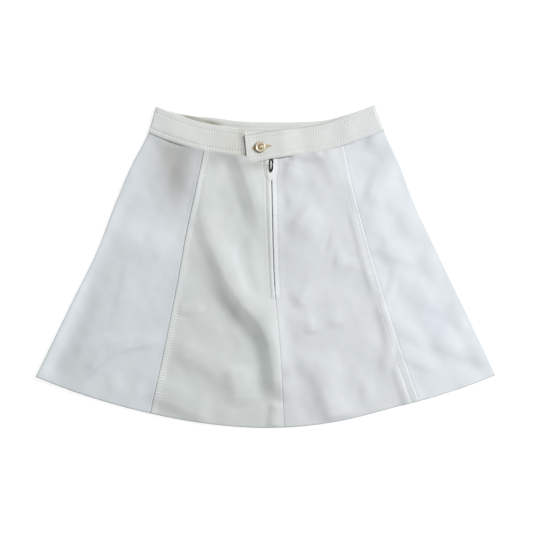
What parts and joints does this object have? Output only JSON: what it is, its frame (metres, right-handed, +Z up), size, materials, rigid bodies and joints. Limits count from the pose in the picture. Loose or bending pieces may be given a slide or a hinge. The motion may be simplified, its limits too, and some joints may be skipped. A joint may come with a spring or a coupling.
{
  "type": "tennis skirt",
  "caption": "Short flared tennis skirt in thick knit, laid flat with its back uppermost, with a waistband, a button tab and a back zip whose pull tab lifts.",
  "frame": {"origin": "middle of the laid skirt's bounding box, on the surface it lies on", "axes": "+Z up, from the flat front to the zipped back; +Y along the centre line from the hem to the waistband; +X to the right of someone who looks down at the back"},
  "size_m": [0.6423, 0.4511, 0.0136],
  "materials": {
    "white_knit": "matte polyester double knit",
    "waistband_knit": "matte interfaced double knit, a little creamier",
    "zip_tape": "woven polyester tape with white teeth",
    "white_enamel": "glossy white enamel on metal",
    "gold_metal": "polished, slightly worn pale gold plating"
  },
  "bodies": {
    "skirt": {"back_left": "white_knit", "back_right": "white_knit", "side_left": "white_knit", "side_right": "white_knit", "front": "white_knit", "waistband": "waistband_knit", "zip_tape_left": "zip_tape", "zip_tape_right": "zip_tape", "zip_slider": "white_enamel", "button": "gold_metal"},
    "pull_tab": {"zip_pull": "white_enamel"}
  },
  "joints": [
    {"name": "pull_hinge", "type": "hinge", "parent": "skirt", "child": "pull_tab", "pos_m": [0.00673, 0.1442, 0.0081], "axis": [-1, 0, 0], "range_deg": [0, 120]}
  ]
}
